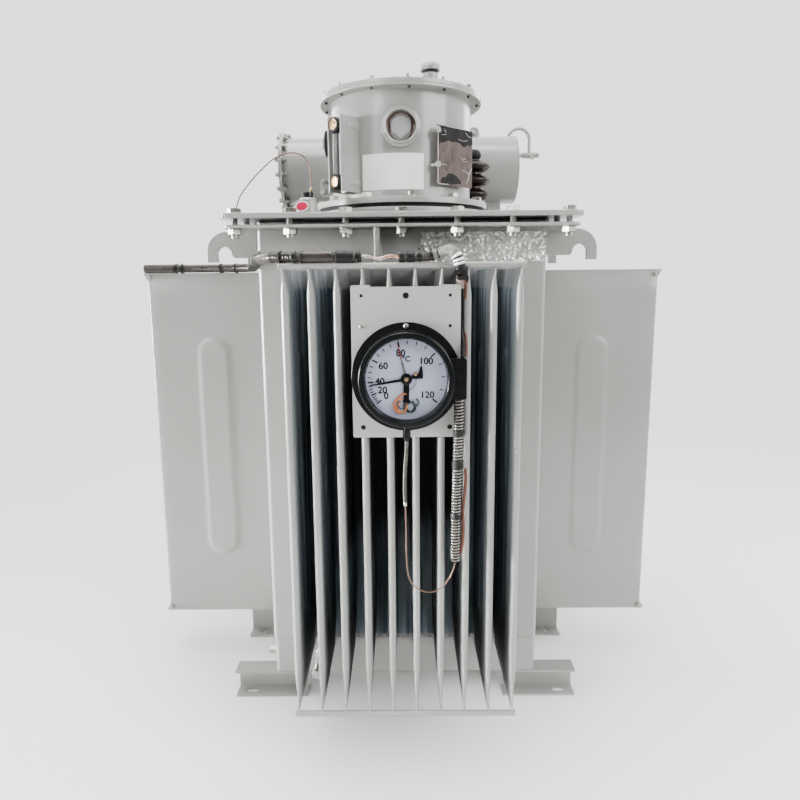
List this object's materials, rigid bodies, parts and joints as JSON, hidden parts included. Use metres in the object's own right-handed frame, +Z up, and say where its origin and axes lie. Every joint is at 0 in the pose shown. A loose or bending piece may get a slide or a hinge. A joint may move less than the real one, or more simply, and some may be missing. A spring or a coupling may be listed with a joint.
{
  "type": "oil-filled electrical transformer",
  "caption": "Floor-standing oil-filled transformer: finned steel tank, bolted cover, round turret, conservator drum, shed bushing and dial thermometer.",
  "frame": {"origin": "on the ground, under the middle of the whole footprint", "axes": "+Z up, -Y to the front with the thermometer, +X to the right seen from the front"},
  "size_m": [1.178, 0.921, 1.382],
  "materials": {
    "grey_paint": "gloss enamel",
    "black_rubber": "matt",
    "gauge_glass": "clear",
    "brass": "machined",
    "polished_plate": "polished",
    "black_plastic": "satin",
    "white_dial": "printed",
    "brown_glaze": "glazed",
    "hose": "corrugated",
    "copper": "drawn",
    "zinc_steel": "zinc plated"
  },
  "bodies": {
    "root": {"tank_shell": "grey_paint", "tank_pan": "grey_paint", "tank_rim": "grey_paint", "limit_strip": "grey_paint", "cover_gasket": "black_rubber", "cover": "grey_paint", "rim_gusset": "grey_paint", "front_lugs": "grey_paint", "rear_lugs": "grey_paint", "front_feet": "grey_paint", "rear_feet": "grey_paint", "front_fins": "grey_paint", "rear_fins": "grey_paint", "left_fins": "grey_paint", "right_fins": "grey_paint", "front_bars": "grey_paint", "rear_bars": "grey_paint", "side_rods": "grey_paint", "turret_collar": "grey_paint", "turret_gasket": "black_rubber", "turret_shell": "grey_paint", "turret_lid": "grey_paint", "relief_valve": "grey_paint", "sight_bezel": "grey_paint", "sight_glass": "gauge_glass", "side_port": "black_plastic", "level_guard": "grey_paint", "level_tube": "gauge_glass", "level_fittings": "brass", "blank_plate": "polished_plate", "plate_bracket": "grey_paint", "earth_pad": "grey_paint", "drum_shell": "grey_paint", "drum_right_end": "grey_paint", "drum_left_end": "grey_paint", "drum_legs": "grey_paint", "drum_pipe": "grey_paint", "breather_pipe": "grey_paint", "breather_valve": "grey_paint", "drum_eye": "grey_paint", "bushing_porcelain": "brown_glaze", "bushing_cap": "black_rubber", "pocket_body": "grey_paint", "pocket_cap": "black_plastic", "pocket_gland": "brass", "gauge_plate": "grey_paint", "gauge_case": "black_plastic", "gauge_bezel": "black_plastic", "gauge_dial": "white_dial", "gauge_glass": "gauge_glass", "gauge_pointer": "black_plastic", "terminal_box": "black_plastic", "gauge_stem": "black_plastic", "drain_pipe": "grey_paint", "earth_bolt": "zinc_steel", "hoses": "hose", "hanging_hose": "hose", "capillaries": "copper"}
  },
  "joints": []
}
